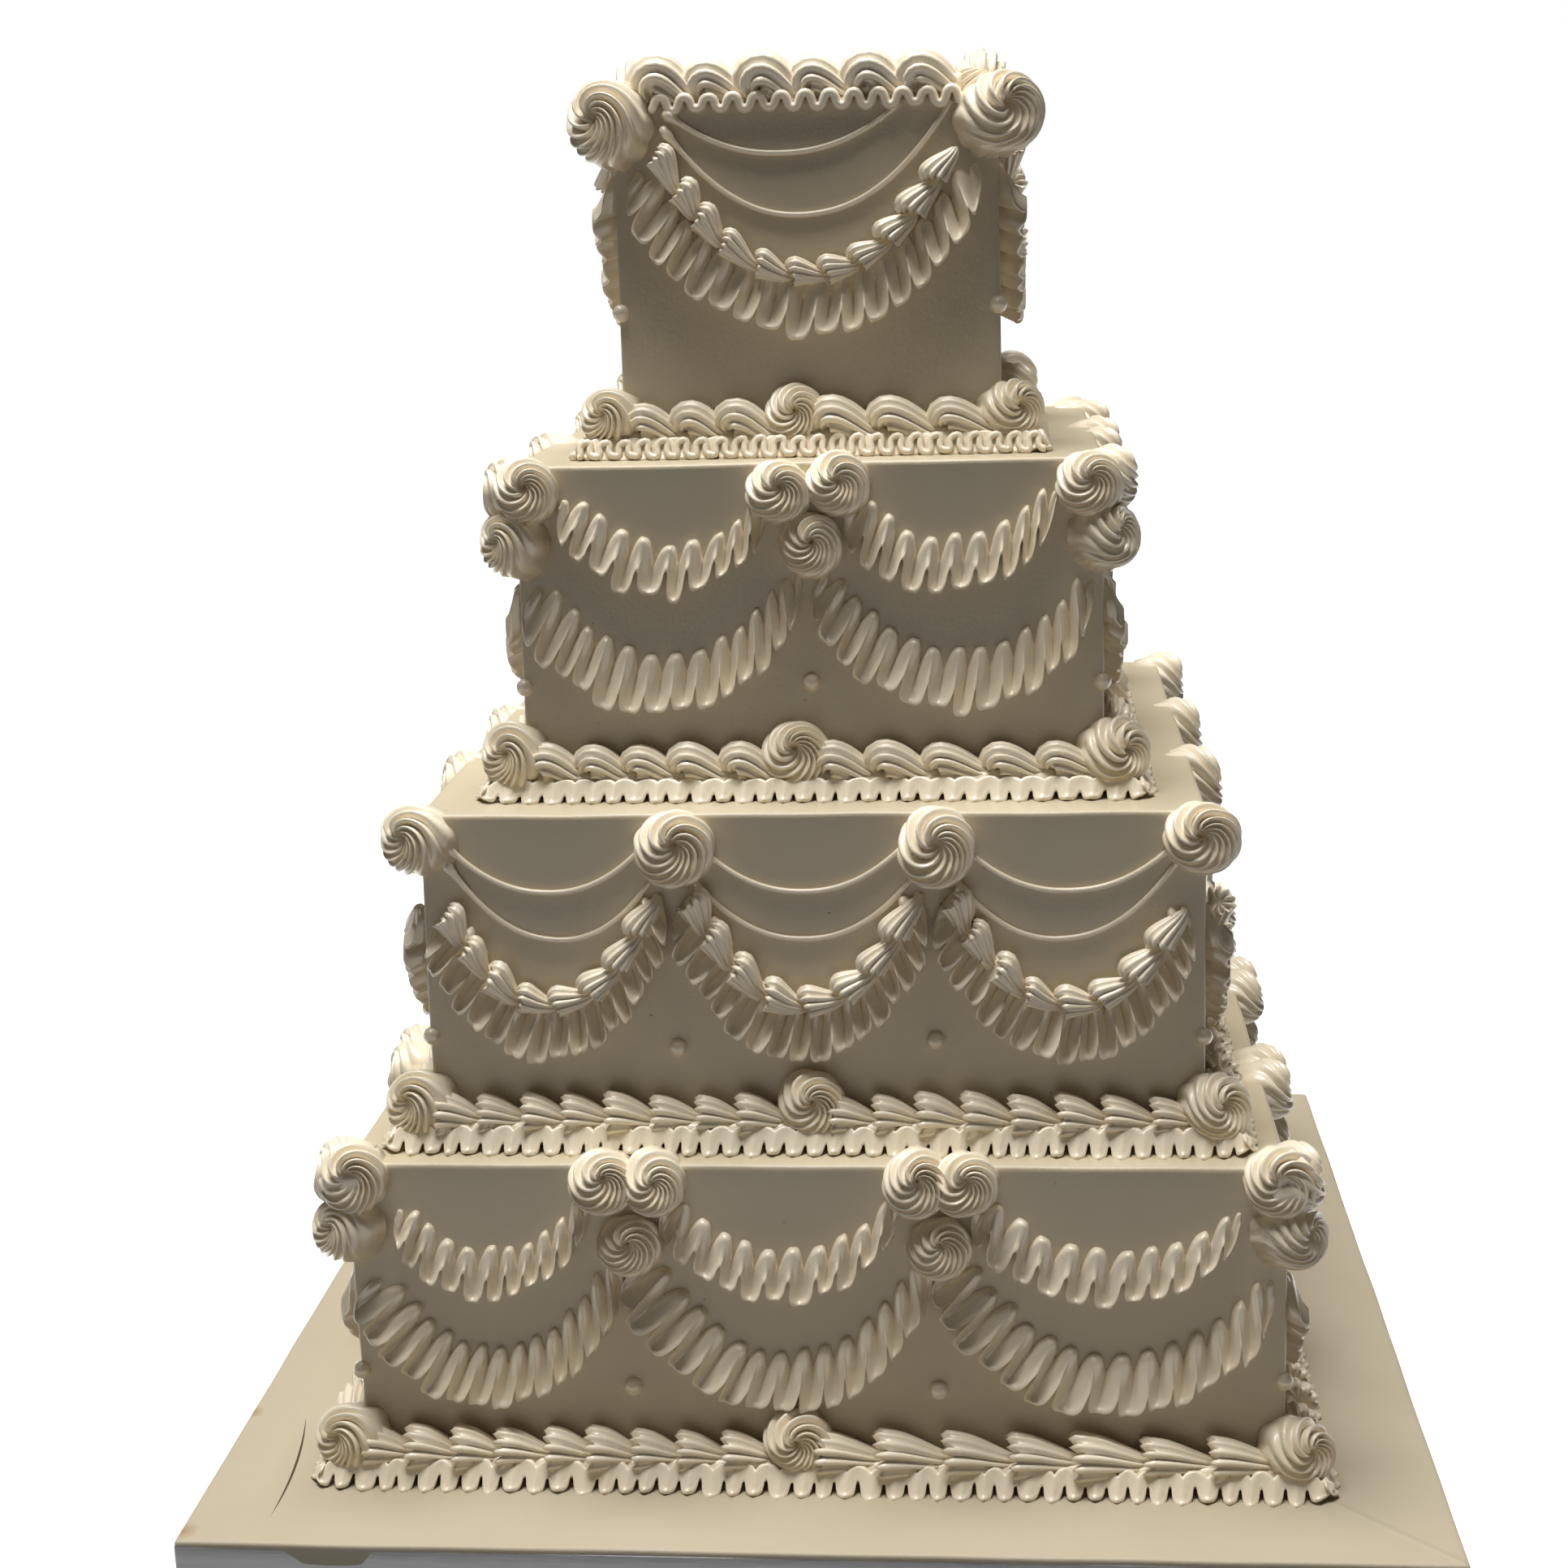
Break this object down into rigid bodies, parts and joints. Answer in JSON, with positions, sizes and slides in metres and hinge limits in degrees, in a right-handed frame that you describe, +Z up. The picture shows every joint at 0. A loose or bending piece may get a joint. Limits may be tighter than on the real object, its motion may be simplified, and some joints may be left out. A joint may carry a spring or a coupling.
{
  "type": "tiered wedding cake",
  "caption": "Square tiered wedding cake in ivory buttercream with piped rosettes, swags, shell borders and ruffles, on its covered board.",
  "frame": {"origin": "middle of the underside of the cake board", "axes": "+Z is up through the middle of the tiers, -Y is the front, +X is to the right seen from the front"},
  "size_m": [0.482, 0.482, 0.5578],
  "materials": {
    "smooth_buttercream": "smooth ivory buttercream, scraped flat, with a soft satin sheen",
    "piped_buttercream": "ivory buttercream piped through star and petal nozzles, satin",
    "covered_board": "cake drum of dense cardboard, its top iced in ivory, with a silver foil edge"
  },
  "bodies": {
    "root": {"board": "covered_board", "bottom_tier": "smooth_buttercream", "bottom_garland_front": "piped_buttercream", "bottom_garland_right": "piped_buttercream", "bottom_garland_back": "piped_buttercream", "bottom_garland_left": "piped_buttercream", "bottom_rosettes_front_right": "piped_buttercream", "bottom_rosettes_back_right": "piped_buttercream", "bottom_rosettes_back_left": "piped_buttercream", "bottom_rosettes_front_left": "piped_buttercream", "bottom_foot_border_front": "piped_buttercream", "bottom_foot_border_right": "piped_buttercream", "bottom_foot_border_back": "piped_buttercream", "bottom_foot_border_left": "piped_buttercream", "lower_tier": "smooth_buttercream", "lower_garland_front": "piped_buttercream", "lower_garland_right": "piped_buttercream", "lower_garland_back": "piped_buttercream", "lower_garland_left": "piped_buttercream", "lower_rosettes_front_right": "piped_buttercream", "lower_rosettes_back_right": "piped_buttercream", "lower_rosettes_back_left": "piped_buttercream", "lower_rosettes_front_left": "piped_buttercream", "lower_foot_border_front": "piped_buttercream", "lower_foot_border_right": "piped_buttercream", "lower_foot_border_back": "piped_buttercream", "lower_foot_border_left": "piped_buttercream", "upper_tier": "smooth_buttercream", "upper_garland_front": "piped_buttercream", "upper_garland_right": "piped_buttercream", "upper_garland_back": "piped_buttercream", "upper_garland_left": "piped_buttercream", "upper_rosettes_front_right": "piped_buttercream", "upper_rosettes_back_right": "piped_buttercream", "upper_rosettes_back_left": "piped_buttercream", "upper_rosettes_front_left": "piped_buttercream", "upper_foot_border_front": "piped_buttercream", "upper_foot_border_right": "piped_buttercream", "upper_foot_border_back": "piped_buttercream", "upper_foot_border_left": "piped_buttercream", "top_tier": "smooth_buttercream", "top_garland_front": "piped_buttercream", "top_garland_right": "piped_buttercream", "top_garland_back": "piped_buttercream", "top_garland_left": "piped_buttercream", "top_rosettes_front_right": "piped_buttercream", "top_rosettes_back_right": "piped_buttercream", "top_rosettes_back_left": "piped_buttercream", "top_rosettes_front_left": "piped_buttercream", "top_foot_border_front": "piped_buttercream", "top_foot_border_right": "piped_buttercream", "top_foot_border_back": "piped_buttercream", "top_foot_border_left": "piped_buttercream", "top_crown_border_front": "piped_buttercream", "top_crown_border_right": "piped_buttercream", "top_crown_border_back": "piped_buttercream", "top_crown_border_left": "piped_buttercream"}
  },
  "joints": []
}
